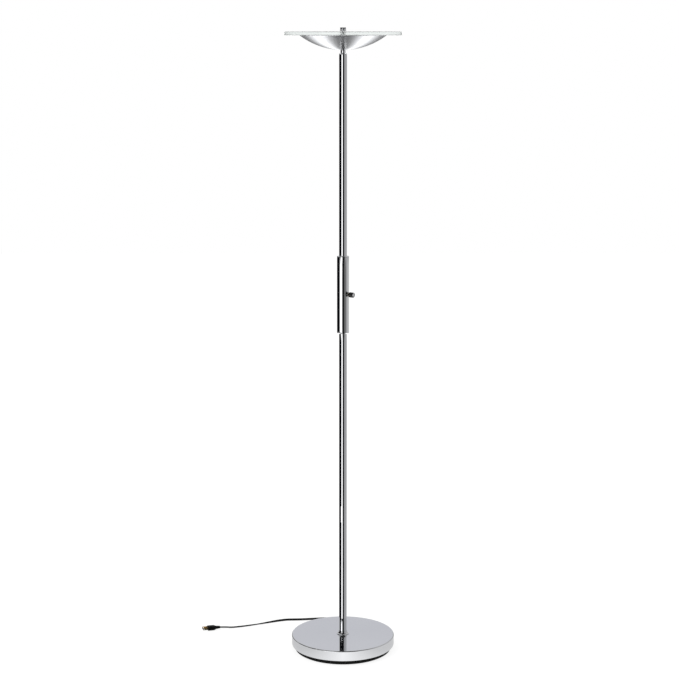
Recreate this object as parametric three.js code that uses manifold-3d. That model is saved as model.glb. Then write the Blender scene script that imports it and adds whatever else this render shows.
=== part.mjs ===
// Torchiere floor lamp: a weighted chrome base, a chrome pole with a dimmer sleeve half way up,
// and a shallow spun bowl that throws the light of an LED ring up through a wide glass disc.
// Millimetres, +Z up. The origin is the middle of the base on the floor, and -Y is the front.
import * as THREE from 'three';
import { mergeVertices } from 'three/addons/utils/BufferGeometryUtils.js';
import Module from 'manifold-3d';

// ---- driving dimensions ----
const TOTAL_HEIGHT = 1803;
const GAP = 0.3; // between pieces that touch or are pressed or screwed together

const BASE_RADIUS = 150;
const BASE_HEIGHT = 45;
const COVER_HEIGHT = 30; // the chrome side, above the black pan
const COVER_WALL = 1.2;
const COVER_EDGE = 2.5; // radius of the cover's top edge
const PAN_RADIUS = 140.5;
const PAN_FLOOR = 2.1; // underside of the pan
const PAN_WALL = 2.4;
const FOOT_RING_RADIUS = 136;
const FOOT_RING_WIDTH = 18;
const WEIGHT_RADIUS = 146;
const NUT_RECESS_RADIUS = 28; // hollow under the weight, round the nut
const STUB_RADIUS = 6.5;
const STUB_BORE = 4.5;

const POLE_RADIUS = 11;
const POLE_WALL = 1.2;
const SLEEVE_RADIUS = 17;
const SLEEVE_WALL = 1.2;
const SLEEVE_BOTTOM = 944;
const SLEEVE_TOP = 1166;

const KNOB_HEIGHT = 1057;
const KNOB_AZIMUTH = THREE.MathUtils.degToRad(52); // from the front, towards +X
const KNOB_RADIUS = 7.5;
const KNOB_REACH = 37.5; // from the pole's axis to the knob's face
const SHAFT_RADIUS = 3;
const SHAFT_CLEARANCE = 0.1;

const BOWL_RIM_RADIUS = 120;
const BOWL_BOTTOM = 1741.4;
const BOWL_DEPTH = 39.6;
const BOWL_WALL = 1.2;
const NECK_RADIUS = 7;
const NECK_HEIGHT = 8.9;
const GLASS_RADIUS = 163.5;
const GLASS_THICKNESS = 10;
const GLASS_BOTTOM = 1782;
const FINIAL_RADIUS = 8.5;
const NIPPLE_RADIUS = 5;
const STUD_RADIUS = 3;

const CORD_WIDTH = 6.8; // flat twin cord
const CORD_THICKNESS = 3.4;
const CORD_EXIT_HEIGHT = 9.4;
const RELIEF_NECK = 4.5;
const RELIEF_TIP = 171;
const HANK_CENTRE = [0, 211];
const HANK_HALF_STRAIGHT = 43;
const INNER_TURN_RADIUS = 20.4;
const TURN_PITCH = 3.5;
const TURNS = 4;
const HANK_LIFT = 0.9; // the ties run under the turns
const TIE_THICKNESS = 0.6;

const FINE = 48; // segments of the wide round pieces
const ROUND = 24; // segments of the poles and the sleeve
const SMALL = 16; // segments of washers, studs and other small turned pieces

// ---- materials ----
const finish = (color, roughness, metalness) =>
  new THREE.MeshStandardMaterial({ color, roughness, metalness });
const chrome = finish('#c9ccd2', 0.08, 1);
const spunMetal = finish('#a9adb0', 0.3, 1);
const steel = finish('#8d9094', 0.4, 1);
const brass = finish('#b8963f', 0.35, 1);
const aluminium = finish('#b4b6b8', 0.45, 1);
const concrete = finish('#8b8780', 0.95, 0);
const blackPlastic = finish('#0b0b0d', 0.45, 0);
const glossBlack = finish('#08080a', 0.15, 0);
const rubber = finish('#141414', 0.85, 0);
const whiteBoard = finish('#f2f1ec', 0.5, 0);
const frostedGlass = finish('#eef2f1', 0.25, 0);
const clearRubber = finish('#d9dcda', 0.6, 0);

// ---- solids ----
const wasm = await Module();
wasm.setup();

// A geometry as positions and triangles only, with shared corners merged and its faces pointing out.
function welded(geometry) {
  const plain = geometry.clone();
  plain.deleteAttribute('normal');
  plain.deleteAttribute('uv');
  const merged = mergeVertices(plain, 1e-4);
  const p = merged.getAttribute('position');
  const corners = Array.from(merged.getIndex().array);
  const kept = [];
  let volume = 0;
  const [a, b, c] = [new THREE.Vector3(), new THREE.Vector3(), new THREE.Vector3()];
  for (let i = 0; i < corners.length; i += 3) {
    const [i0, i1, i2] = corners.slice(i, i + 3);
    if (i0 === i1 || i1 === i2 || i2 === i0) continue;
    kept.push(i0, i1, i2);
    a.fromBufferAttribute(p, i0);
    b.fromBufferAttribute(p, i1);
    c.fromBufferAttribute(p, i2);
    volume += a.dot(b.cross(c));
  }
  merged.setIndex(volume < 0 ? kept.reverse() : kept);
  return merged;
}

const toManifold = (geometry) => {
  const g = welded(geometry);
  return new wasm.Manifold(
    new wasm.Mesh({
      numProp: 3,
      vertProperties: new Float32Array(g.getAttribute('position').array),
      triVerts: new Uint32Array(g.getIndex().array),
    }),
  );
};

const fromManifold = (solid) => {
  const mesh = solid.getMesh();
  const g = new THREE.BufferGeometry();
  g.setAttribute('position', new THREE.BufferAttribute(mesh.vertProperties, 3));
  g.setIndex(new THREE.BufferAttribute(mesh.triVerts, 1));
  return g;
};

const cut = (geometry, ...cutters) =>
  fromManifold(cutters.reduce((left, c) => left.subtract(toManifold(c)), toManifold(geometry)));

// A body of revolution about +Z from a profile of [radius, height] corners. A profile that
// doesn't start and end on the axis is closed on itself.
function turned(profile, segments = ROUND) {
  const onAxis = profile[0][0] === 0 && profile.at(-1)[0] === 0;
  const outline = onAxis ? profile : [...profile, profile[0]];
  const g = new THREE.LatheGeometry(outline.map(([r, z]) => new THREE.Vector2(r, z)), segments);
  return welded(g.rotateX(Math.PI / 2));
}

// A plain ring or bush: a rectangle turned about +Z.
const bush = (inner, outer, low, high, segments = ROUND) =>
  turned([[inner, low], [outer, low], [outer, high], [inner, high]], segments);

const rod = (radius, low, high, segments = ROUND) =>
  turned([[0, low], [radius, low], [radius, high], [0, high]], segments);

// Points along an arc in a profile, about [radius, height], between two angles from the +radius side.
const arc = ([r, z], radius, from, to, steps) =>
  Array.from({ length: steps + 1 }, (_, i) => {
    const t = from + ((to - from) * i) / steps;
    return [r + radius * Math.cos(t), z + radius * Math.sin(t)];
  });

// A hexagonal nut about +Z, measured across its flats.
function hexNut(acrossFlats, bore, low, high) {
  const shape = new THREE.Shape();
  for (let i = 0; i < 6; i += 1) {
    const t = (i * Math.PI) / 3;
    const r = acrossFlats / Math.sqrt(3);
    shape[i ? 'lineTo' : 'moveTo'](r * Math.cos(t), r * Math.sin(t));
  }
  shape.holes.push(new THREE.Path().absarc(0, 0, bore, 0, 2 * Math.PI, true));
  const g = new THREE.ExtrudeGeometry(shape, {
    depth: high - low, bevelEnabled: false, curveSegments: 8,
  });
  return welded(g.translate(0, 0, low));
}

// A smooth curve with its steps shared out between its points, not by length, so that points
// close together on a bend give it a fine curve and a straight stretch costs nothing.
class Route extends THREE.CatmullRomCurve3 {
  getUtoTmapping(u) {
    return u;
  }
}

// A tube of eight sides along a smooth curve through the points.
function tube(points, radius, stepsEach) {
  const path = new Route(points.map((p) => new THREE.Vector3(...p)), false, 'centripetal');
  const section = new THREE.Shape(
    Array.from({ length: 8 }, (_, i) => {
      const t = (i * Math.PI) / 4;
      return new THREE.Vector2(radius * Math.cos(t), radius * Math.sin(t));
    }),
  );
  const steps = stepsEach * (points.length - 1);
  return welded(new THREE.ExtrudeGeometry(section, { steps, extrudePath: path, bevelEnabled: false }));
}

const boxAt = ([x, y, z], [sx, sy, sz]) => new THREE.BoxGeometry(sx, sy, sz).translate(x, y, z);

const lamp = new THREE.Group();
function add(name, geometry, material, parent = lamp) {
  const mesh = new THREE.Mesh(geometry, material);
  mesh.name = name;
  parent.add(mesh);
  return mesh;
}

// ---- base: foot ring, pan, weight, cover ----
const coverBottom = BASE_HEIGHT - COVER_HEIGHT;
const panTop = PAN_FLOOR + PAN_WALL;
const flangeTop = coverBottom + 2.2;
const weightBottom = flangeTop + GAP;
const weightTop = BASE_HEIGHT - COVER_WALL - GAP;
const recessTop = 30; // ceiling of the hollow under the weight, where the nut sits
const screwCircle = 100;
const screwRadius = 1.9;
const screwHead = 4;
const screwEnd = 26;
const screwAngles = [30, 150, 270].map(THREE.MathUtils.degToRad);
const atScrew = (g, t) => g.translate(screwCircle * Math.cos(t), screwCircle * Math.sin(t), 0);
const alongBack = (g) => g.rotateX(-Math.PI / 2).translate(0, 0, CORD_EXIT_HEIGHT); // +Z turned to +Y

add(
  'base_foot_ring',
  bush(FOOT_RING_RADIUS - FOOT_RING_WIDTH, FOOT_RING_RADIUS, 0, PAN_FLOOR - GAP, FINE),
  rubber,
);

function basePan() {
  const wall = PAN_RADIUS - PAN_WALL;
  const tray = turned([
    [0, PAN_FLOOR],
    [PAN_RADIUS - 1.4, PAN_FLOOR],
    [PAN_RADIUS, PAN_FLOOR + 1.4],
    [PAN_RADIUS, coverBottom + 0.6],
    [BASE_RADIUS - 2.8, coverBottom + 0.6],
    [BASE_RADIUS - 2.8, flangeTop],
    [wall, flangeTop],
    [wall, panTop],
    [0, panTop],
  ], FINE);
  const cordHole = alongBack(rod(RELIEF_NECK + GAP, wall - 8, PAN_RADIUS + 4, 16));
  const screwHoles = screwAngles.map((t) => atScrew(rod(screwRadius + 0.5, -1, panTop + 1, 12), t));
  return cut(tray, cordHole, ...screwHoles);
}
add('base_pan', basePan(), blackPlastic);

function baseWeight() {
  const block = turned([
    [STUB_RADIUS + 0.5, weightTop],
    [WEIGHT_RADIUS - 3, weightTop],
    [WEIGHT_RADIUS, weightTop - 4],
    [WEIGHT_RADIUS, weightBottom],
    [NUT_RECESS_RADIUS, weightBottom],
    [NUT_RECESS_RADIUS, recessTop],
    [STUB_RADIUS + 0.5, recessTop],
  ], FINE);
  const screwHole = rod(screwRadius + 0.4, weightBottom - 2, screwEnd + 3, 12);
  const screwHoles = screwAngles.map((t) => atScrew(screwHole.clone(), t));
  return cut(block, ...screwHoles);
}
add('base_weight', baseWeight(), concrete);

function baseCover() {
  const edge = [BASE_RADIUS - COVER_EDGE, BASE_HEIGHT - COVER_EDGE];
  const inner = BASE_RADIUS - COVER_WALL;
  return turned([
    [STUB_RADIUS + 0.7, BASE_HEIGHT],
    ...arc(edge, COVER_EDGE, Math.PI / 2, 0, 4),
    [BASE_RADIUS, coverBottom + 2.6],
    [BASE_RADIUS - 0.9, coverBottom],
    [inner - 0.9, coverBottom],
    [inner, coverBottom + 2.6],
    ...arc(edge, COVER_EDGE - COVER_WALL, 0, Math.PI / 2, 3),
    [STUB_RADIUS + 0.7, BASE_HEIGHT - COVER_WALL],
  ], FINE);
}
add('base_cover', baseCover(), chrome);

screwAngles.forEach((t, i) => {
  const underHead = PAN_FLOOR - GAP;
  const screw = turned([
    [0, 0.4], [screwHead, 0.4], [screwHead, underHead],
    [screwRadius, underHead], [screwRadius, screwEnd], [0, screwEnd],
  ], 12);
  add(`pan_screw_${i + 1}`, atScrew(screw, t), steel);
});

// ---- pole foot ----
const poleFoot = BASE_HEIGHT + GAP;
const poleBore = POLE_RADIUS - POLE_WALL;
const onStub = STUB_RADIUS + GAP;
const [stubFoot, stubTop, insertTop] = [19.5, 66, 72];
const washerFoot = recessTop - 2;
const nutFoot = recessTop - 9;
add('base_stub', bush(STUB_BORE, STUB_RADIUS, stubFoot, stubTop, SMALL), steel);
add('base_washer', bush(onStub, 17, washerFoot, recessTop - GAP, SMALL), steel);
add('base_nut', hexNut(24, onStub, nutFoot, washerFoot - GAP), steel);
add('foot_insert', bush(onStub, poleBore - GAP, poleFoot, insertTop, SMALL), steel);
add('foot_collar', turned([
  [POLE_RADIUS + GAP, poleFoot],
  [18, poleFoot],
  [18, poleFoot + 1.2],
  [14.4, poleFoot + 4],
  [12.6, poleFoot + 9],
  [POLE_RADIUS + GAP, poleFoot + 9],
]), chrome);

// ---- poles and sleeve ----
const lowerPoleTop = 985;
const upperPoleFoot = 1145;
const topPlugLip = 3.2;
const poleTop = BOWL_BOTTOM - NECK_HEIGHT - topPlugLip; // the tube's end, under the rounded plug
const capLip = 3.7;
const sleeveBore = SLEEVE_RADIUS - SLEEVE_WALL;
add('lower_pole', bush(poleBore, POLE_RADIUS, poleFoot, lowerPoleTop), chrome);
add('upper_pole', bush(poleBore, POLE_RADIUS, upperPoleFoot, poleTop), chrome);

add('sleeve_lower_cap', turned([
  [POLE_RADIUS + GAP, SLEEVE_BOTTOM],
  ...arc([SLEEVE_RADIUS - 2.5, SLEEVE_BOTTOM + 2.5], 2.5, -Math.PI / 2, 0, 3),
  [SLEEVE_RADIUS, SLEEVE_BOTTOM + capLip],
  [sleeveBore - GAP, SLEEVE_BOTTOM + capLip],
  [sleeveBore - GAP, SLEEVE_BOTTOM + 16],
  [POLE_RADIUS + GAP, SLEEVE_BOTTOM + 16],
]), chrome);

add('sleeve_upper_cap', turned([
  [POLE_RADIUS + GAP, SLEEVE_TOP - 14],
  [sleeveBore - GAP, SLEEVE_TOP - 14],
  [sleeveBore - GAP, SLEEVE_TOP - 2],
  [SLEEVE_RADIUS, SLEEVE_TOP - 2],
  [SLEEVE_RADIUS, SLEEVE_TOP - 0.6],
  [SLEEVE_RADIUS - 0.6, SLEEVE_TOP],
  [POLE_RADIUS + GAP, SLEEVE_TOP],
]), chrome);

// Turned so that +Z runs out of the sleeve along the dimmer's shaft.
const alongKnob = (g) => g.rotateX(Math.PI / 2).rotateZ(KNOB_AZIMUTH).translate(0, 0, KNOB_HEIGHT);
const bushingRadius = 4;
add('dimmer_sleeve', cut(
  bush(sleeveBore, SLEEVE_RADIUS, SLEEVE_BOTTOM + capLip + GAP, SLEEVE_TOP - 2 - GAP),
  alongKnob(rod(bushingRadius + GAP, 8, 24, 16)),
), chrome);

// ---- dimmer: everything here is turned about the shaft's axis, measured from the pole's axis ----
const dimmerAxis = new THREE.Group();
dimmerAxis.position.z = KNOB_HEIGHT;
dimmerAxis.rotation.z = KNOB_AZIMUTH;
const dimmer = new THREE.Group();
dimmer.rotation.x = Math.PI / 2;
dimmerAxis.add(dimmer);
lamp.add(dimmerAxis);
const dimmerFace = 11.5;
const nutFace = SLEEVE_RADIUS + GAP;
const shaftHole = SHAFT_RADIUS + SHAFT_CLEARANCE;

add('dimmer_body', turned([
  [0, -5], [8, -5], [8, dimmerFace], [shaftHole, dimmerFace], [shaftHole, 2], [0, 2],
]), blackPlastic, dimmer);
add('dimmer_bushing', bush(shaftHole, bushingRadius, dimmerFace + GAP, 23.5), brass, dimmer);
add('dimmer_washer', bush(bushingRadius + GAP, 7, nutFace, nutFace + 0.8, SMALL), steel, dimmer);
add('dimmer_nut', hexNut(11, bushingRadius + GAP, nutFace + 0.8 + GAP, nutFace + 3.6), steel, dimmer);
add('dimmer_shaft', rod(SHAFT_RADIUS, 2.5, 34), steel, dimmer);
add('dimmer_knob', turned([
  [0, 34 + GAP],
  [SHAFT_RADIUS + GAP, 34 + GAP],
  [SHAFT_RADIUS + GAP, 24.3],
  [KNOB_RADIUS - 0.6, 24.3],
  [KNOB_RADIUS, 24.9],
  [KNOB_RADIUS, KNOB_REACH - 1.6],
  [KNOB_RADIUS - 1.6, KNOB_REACH],
  [0, KNOB_REACH],
]), glossBlack, dimmer);

const driverBottom = 1074;
const driverLength = 58;
add('led_driver', boxAt([0, 0, driverBottom + driverLength / 2], [17, 17, driverLength]), blackPlastic);

// ---- head: plug, nipple, neck, bowl ----
const onNipple = NIPPLE_RADIUS + GAP;
const onStud = STUD_RADIUS + GAP;
add('pole_top_plug', turned([
  [onNipple, poleTop - 18],
  [poleBore - GAP, poleTop - 18],
  [poleBore - GAP, poleTop + GAP],
  [POLE_RADIUS, poleTop + GAP],
  ...arc([POLE_RADIUS - 2.4, poleTop + topPlugLip - 2.4], 2.4, 0, Math.PI / 2, 3),
  [onNipple, poleTop + topPlugLip],
]), chrome);
const nippleTop = 1760;
add('head_nipple', bush(3.5, NIPPLE_RADIUS, poleTop - 16, nippleTop, SMALL), steel);
add(
  'neck_spacer',
  bush(onNipple, NECK_RADIUS, BOWL_BOTTOM - NECK_HEIGHT + GAP, BOWL_BOTTOM - GAP, SMALL),
  chrome,
);

// The bowl's outside is a cap of one sphere; its inside is parallel to it.
const bowlSphere = (BOWL_RIM_RADIUS ** 2 + BOWL_DEPTH ** 2) / (2 * BOWL_DEPTH);
const bowlCentre = BOWL_BOTTOM + bowlSphere;
const bowlCurve = (radius, from, to, steps) => {
  const angleAt = (across) => Math.asin(across / radius) - Math.PI / 2;
  return arc([0, bowlCentre], radius, angleAt(from), angleAt(to), steps);
};
add('bowl', turned([
  ...bowlCurve(bowlSphere, onNipple, BOWL_RIM_RADIUS, 9),
  ...bowlCurve(bowlSphere - BOWL_WALL, onNipple, BOWL_RIM_RADIUS - 0.7, 9).reverse(),
], FINE), spunMetal);

const bowlFloor = BOWL_BOTTOM + BOWL_WALL + GAP;
const bowlWasherTop = bowlFloor + 1.6;
const lockNutTop = bowlFloor + 6.6;
add('bowl_washer', bush(onNipple, 12, bowlFloor + 0.4, bowlWasherTop, SMALL), steel);
add('head_lock_nut', hexNut(14, onNipple, bowlWasherTop + GAP, lockNutTop), steel);

// ---- light source ----
const sinkRadius = 50;
const sinkBottom = lockNutTop + GAP;
const sinkTop = sinkBottom + 3;
const boardTop = sinkTop + GAP + 1.6;
add('led_heat_sink', bush(onNipple, sinkRadius, sinkBottom, sinkTop), aluminium);
add('led_board', bush(14, sinkRadius - 1, sinkTop + GAP, boardTop), whiteBoard);

// ---- stud, glass and finial ----
const couplingTop = 1774;
const chamberTop = 1766.5;
add('stud_coupling', cut(
  turned([
    [onNipple, sinkTop + GAP],
    [7, sinkTop + GAP],
    [7, couplingTop],
    [onStud, couplingTop],
    [onStud, chamberTop],
    [onNipple, chamberTop],
  ], SMALL),
  boxAt([6, 0, 1763], [10, 4.4, 5]),
), steel);
add('centre_stud', rod(STUD_RADIUS, chamberTop + 0.5, TOTAL_HEIGHT - 2.5, SMALL), steel);
const seatWasher = 1;
const washerBottom = GLASS_BOTTOM - GAP - seatWasher;
const glassTop = GLASS_BOTTOM + GLASS_THICKNESS;
const glassHole = STUD_RADIUS + 2;
add('glass_seat', bush(onStud, 10, couplingTop + GAP, washerBottom - GAP, SMALL), chrome);
add('glass_seat_washer', bush(onStud, 11, washerBottom, GLASS_BOTTOM - GAP, SMALL), clearRubber);
add('glass_disc', turned([
  [glassHole, GLASS_BOTTOM],
  [GLASS_RADIUS - 1.2, GLASS_BOTTOM],
  [GLASS_RADIUS, GLASS_BOTTOM + 1.2],
  [GLASS_RADIUS, glassTop - 1.2],
  [GLASS_RADIUS - 1.2, glassTop],
  [glassHole, glassTop],
], FINE), frostedGlass);
const finialFoot = glassTop + 2 * GAP + 0.6;
add('finial_washer', bush(onStud, 7.5, glassTop + GAP, finialFoot - GAP, SMALL), clearRubber);
add('finial', turned([
  [0, TOTAL_HEIGHT - 2],
  [onStud, TOTAL_HEIGHT - 2],
  [onStud, finialFoot],
  [FINIAL_RADIUS, finialFoot],
  [FINIAL_RADIUS, TOTAL_HEIGHT - 0.8],
  [FINIAL_RADIUS - 0.8, TOTAL_HEIGHT],
  [0, TOTAL_HEIGHT],
]), chrome);

// ---- wiring inside ----
const cordRadius = CORD_THICKNESS / 2;
const insideCordStart = 146;
const supplyTurn = 14; // radius of the cable's bend into the stub
const supplyRoute = [
  [0, insideCordStart, CORD_EXIT_HEIGHT],
  [0, 120, CORD_EXIT_HEIGHT],
  [0, 80, CORD_EXIT_HEIGHT],
  [0, 45, CORD_EXIT_HEIGHT],
  [0, 26, CORD_EXIT_HEIGHT],
  ...[0, 22.5, 45, 67.5, 90].map(THREE.MathUtils.degToRad).map((t) => [
    0,
    supplyTurn * (1 - Math.sin(t)),
    CORD_EXIT_HEIGHT + supplyTurn * (1 - Math.cos(t)),
  ]),
  [0, 0, 40],
  [0, 0, 300],
  [0, 0, 640],
  [0, 0, 1000],
  [0, 0, KNOB_HEIGHT - 12],
];
add('supply_cable', tube(supplyRoute, cordRadius, 1), rubber);

const headRoute = [
  [0, 0, driverBottom + driverLength + GAP],
  [0, 0, 1400],
  [0, 0, 1700],
  [0, 0, 1752],
  [0.4, 0, 1759.5],
  [3, 0, 1762.9],
  [8, 0, 1763.4],
  [13, 0, 1761.6],
  [18, 0, boardTop + 2.6],
  [21, 0, boardTop + 1.6],
];
add('head_cable', tube(headRoute, 1.2, 1), rubber);

// ---- mains cord: relief, lead-in, hank with its ties, run and plug ----
const reliefBore = CORD_WIDTH / 2 + 0.2;
add('strain_relief', alongBack(turned([
  [reliefBore, 133],
  [RELIEF_NECK, 133],
  [RELIEF_NECK, PAN_RADIUS + GAP],
  [5.7, PAN_RADIUS + GAP],
  [5.7, PAN_RADIUS + 2.5],
  [5.2, PAN_RADIUS + 3.5],
  [4.4, RELIEF_TIP],
  [reliefBore, RELIEF_TIP],
], SMALL)), blackPlastic);

// Straight out of the relief, over the hank's near side, and down into its middle.
const leadInRoute = [
  [0, insideCordStart + GAP, CORD_EXIT_HEIGHT],
  [0, 156, CORD_EXIT_HEIGHT],
  [0, 166, 9.5],
  [0, 175, 10.0],
  [0, 182, 10.3],
  [0, 189, 10.2],
  [0, 197, 8.9],
  [-0.7, 205, 6.7],
  [-3.5, 213, 5.0],
  [-8.5, 220.5, 4.4],
  [-14, 225.2, 4.3],
];
add('cord_lead_in', tube(leadInRoute, cordRadius, 2), rubber);

const outerTurn = INNER_TURN_RADIUS + TURN_PITCH * (TURNS - 1);
const [hankX, hankY] = HANK_CENTRE;
const bundleInner = INNER_TURN_RADIUS - cordRadius - GAP;
const bundleOuter = outerTurn + cordRadius + GAP;
function racetrack(radius, path) {
  path.absarc(hankX + HANK_HALF_STRAIGHT, hankY, radius, -Math.PI / 2, Math.PI / 2, false);
  path.absarc(hankX - HANK_HALF_STRAIGHT, hankY, radius, Math.PI / 2, (3 * Math.PI) / 2, false);
  path.closePath();
  return path;
}
function hank() {
  const outline = racetrack(bundleOuter, new THREE.Shape());
  outline.holes.push(racetrack(bundleInner, new THREE.Path()));
  const flat = { depth: CORD_WIDTH, bevelEnabled: false, curveSegments: 12 };
  const g = new THREE.ExtrudeGeometry(outline, flat);
  return welded(g.translate(0, 0, HANK_LIFT));
}
add('cord_hank', hank(), rubber);

function tie(x, side) {
  const y = hankY + (side * (bundleInner + bundleOuter)) / 2;
  const z = HANK_LIFT + CORD_WIDTH / 2;
  const opening = [bundleOuter - bundleInner + 2 * GAP, CORD_WIDTH + 2 * GAP];
  const band = boxAt([x, y, z], [6, opening[0] + 2 * TIE_THICKNESS, opening[1] + 2 * TIE_THICKNESS]);
  return cut(band, boxAt([x, y, z], [10, ...opening]));
}
add('hank_tie_near', tie(hankX + 24, -1), rubber);
add('hank_tie_far', tie(hankX + 14, 1), rubber);

// From the hank's far side to the left along the floor, lifting into the plug at the end.
const runRoute = [
  [-60, 245.4, 3.9],
  [-68, 245.4, 3.6],
  [-84, 244.2, 3.4],
  [-102, 241.6, 3.4],
  [-133, 238, 3.4],
  [-158, 236.8, 3.4],
  [-172, 235.6, 3.4],
  [-189, 230.6, 3.4],
  [-207, 223, 3.3],
  [-225, 214.8, 2.9],
  [-261, 198.3, 2.3],
  [-288, 187, 1.9],
  [-315, 177, 1.8],
  [-338, 169.8, 2.6],
  [-356, 165, 4.8],
  [-374, 160, 6.4],
];
add('cord_run', tube(runRoute, cordRadius, 2), rubber);

const plug = new THREE.Group();
plug.position.set(-374, 160, 6.8);
plug.rotation.z = Math.atan2(-5, -18); // the cord's direction at its end
lamp.add(plug);
const plugBoot = 12;
const plugLength = 38;
const bladeSpacing = 12.7;
const blades = [['plug_blade_wide', 7.9, 1], ['plug_blade_narrow', 6.35, -1]];
function plugBody() {
  const outline = new THREE.Shape();
  outline.moveTo(GAP, -5);
  outline.lineTo(plugBoot, -6);
  outline.quadraticCurveTo(plugBoot + 4, -11.5, plugBoot + 9, -12);
  outline.lineTo(plugLength, -12);
  outline.lineTo(plugLength, 12);
  outline.lineTo(plugBoot + 9, 12);
  outline.quadraticCurveTo(plugBoot + 4, 11.5, plugBoot, 6);
  outline.lineTo(GAP, 5);
  const g = new THREE.ExtrudeGeometry(outline, { depth: 13, bevelEnabled: false, curveSegments: 5 });
  const slots = blades.map(([, height, side]) =>
    boxAt([plugLength, (side * bladeSpacing) / 2, 0], [14, 1.5 + 2 * GAP, height + 2 * GAP]));
  return cut(g.translate(0, 0, -6.5), ...slots);
}
add('plug_body', plugBody(), blackPlastic, plug);
blades.forEach(([name, height, side]) => {
  add(name, boxAt([plugLength + 5.2, (side * bladeSpacing) / 2, 0], [21, 1.5, height]), brass, plug);
});

export default lamp;
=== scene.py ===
"""A torchiere floor lamp: a weighted chrome base, a chrome pole with a dimmer sleeve, and a spun
bowl under a wide glass plate. Metres, +Z up, -Y the front. Shapes are worked out in millimetres,
and piece() turns them into metres."""

import math

import bmesh
import bpy
import numpy as np
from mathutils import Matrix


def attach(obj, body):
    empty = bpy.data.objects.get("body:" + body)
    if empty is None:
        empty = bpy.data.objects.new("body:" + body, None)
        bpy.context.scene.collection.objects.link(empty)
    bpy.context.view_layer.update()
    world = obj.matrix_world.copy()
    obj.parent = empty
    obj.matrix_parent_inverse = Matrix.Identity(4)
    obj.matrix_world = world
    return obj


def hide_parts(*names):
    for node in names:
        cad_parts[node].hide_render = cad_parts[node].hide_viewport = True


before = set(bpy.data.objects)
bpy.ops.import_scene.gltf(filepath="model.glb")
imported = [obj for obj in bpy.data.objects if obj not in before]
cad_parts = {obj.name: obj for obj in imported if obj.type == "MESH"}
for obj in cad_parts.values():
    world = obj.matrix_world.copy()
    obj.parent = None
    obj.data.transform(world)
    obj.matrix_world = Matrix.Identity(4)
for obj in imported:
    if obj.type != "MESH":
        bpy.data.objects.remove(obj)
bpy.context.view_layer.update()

MM = 0.001
TAU = 2 * np.pi
UP = np.array([0.0, 0.0, 1.0])

# Sizes that several pieces share, in millimetres.
BASE_RADIUS, BASE_HEIGHT, COVER_FOOT, COVER_WALL = 150, 45, 15, 1.2
PAN_RADIUS, PAN_FLOOR = 140.5, 2.1
POLE_RADIUS, POLE_BORE, POLE_FOOT = 11, 9.8, 45.3
SLEEVE_RADIUS, SLEEVE_BORE, SLEEVE_BOTTOM, SLEEVE_TOP = 17, 15.8, 944, 1166
CAP_BORE, CAP_PLUG = 11.3, 15.5
BOWL_RIM, BOWL_DEPTH, BOWL_BOTTOM = 120.0, 39.6, 1741.4
GLASS_RADIUS, GLASS_BOTTOM, GLASS_TOP = 163.5, 1782, 1792
FINIAL_RADIUS, TOTAL_HEIGHT = 8.5, 1803
CORD_WIDTH, CORD_THICK, CORD_EXIT = 6.8, 3.4, 9.4


# ---------------------------------------------------------------- shapes
def unit(v):
    return v / np.maximum(np.linalg.norm(v, axis=-1, keepdims=True), 1e-12)


def outline(*corners, steps=5):
    """A line through (across, up[, radius]) corners. A corner with a radius gives way to the arc
    that touches both its sides, radius / tan(half its angle) away from it. One more point just
    past each end of the arc keeps the straight sides shaded flat."""
    c = np.array([k if len(k) == 3 else (*k, 0) for k in corners], float)
    p, radius = c[:, :2], c[:, 2]
    back, on = unit(np.roll(p, 1, 0) - p), unit(np.roll(p, -1, 0) - p)
    half = np.arccos(np.clip((back * on).sum(1), -1, 1)) / 2
    reach = (radius / np.tan(np.maximum(half, 1e-6)))[:, None]
    centre = p + unit(back + on) * (radius / np.sin(np.maximum(half, 1e-6)))[:, None]
    sweep = (np.pi - 2 * half)[:, None]
    t = np.linspace(0, 1, steps + 1)
    share = np.maximum(np.sin(sweep), 1e-9)
    first = (np.sin((1 - t) * sweep) / share)[..., None] * (p + back * reach - centre)[:, None]
    last = (np.sin(t * sweep) / share)[..., None] * (p + on * reach - centre)[:, None]
    sides = np.linalg.norm(np.roll(p, -1, 0) - p, axis=1)[:, None]
    past = np.clip((sides - reach - np.roll(reach, -1, 0)) / 4, 0, 0.15)
    before = p + back * (reach + np.roll(past, 1, 0))
    after = p + on * (reach + past)
    line = np.hstack([before[:, None], centre[:, None] + first + last, after[:, None]])
    return line[(radius[:, None] > 0) | (np.arange(steps + 3) == 1)]


def finer(line, step, closed=True):
    """The same line with points added along it, so that none are more than step apart."""
    if closed:
        line = np.vstack([line, line[:1]])
    along = np.r_[0, np.cumsum(np.linalg.norm(np.diff(line, axis=0), axis=1))]
    at = np.union1d(along, np.arange(0, along[-1], step))
    line = np.stack([np.interp(at, along, column) for column in line.T], -1)
    return line[:-1] if closed else line


def outward(points, faces):
    """Faces in the order that gives the closed skin a positive volume, the sum of
    v0 . (v1 x v2) + v0 . (v2 x v3) over its four-cornered faces."""
    a, b, c, d = (points[faces[:, k]] for k in range(4))
    volume = (a * (np.cross(b, c) + np.cross(c, d))).sum()
    return points, faces if volume > 0 else faces[:, ::-1]


def skin(grid, rows_meet=True, columns_meet=True):
    """Four-cornered faces between neighbouring points of a grid, joined where its ends meet."""
    index = np.arange(grid.shape[0] * grid.shape[1]).reshape(grid.shape[:2])
    if rows_meet:
        index = np.vstack([index, index[:1]])
    if columns_meet:
        index = np.hstack([index, index[:, :1]])
    corners = [index[:-1, :-1], index[:-1, 1:], index[1:, 1:], index[1:, :-1]]
    return outward(grid.reshape(-1, 3), np.stack(corners, -1).reshape(-1, 4))


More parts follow.
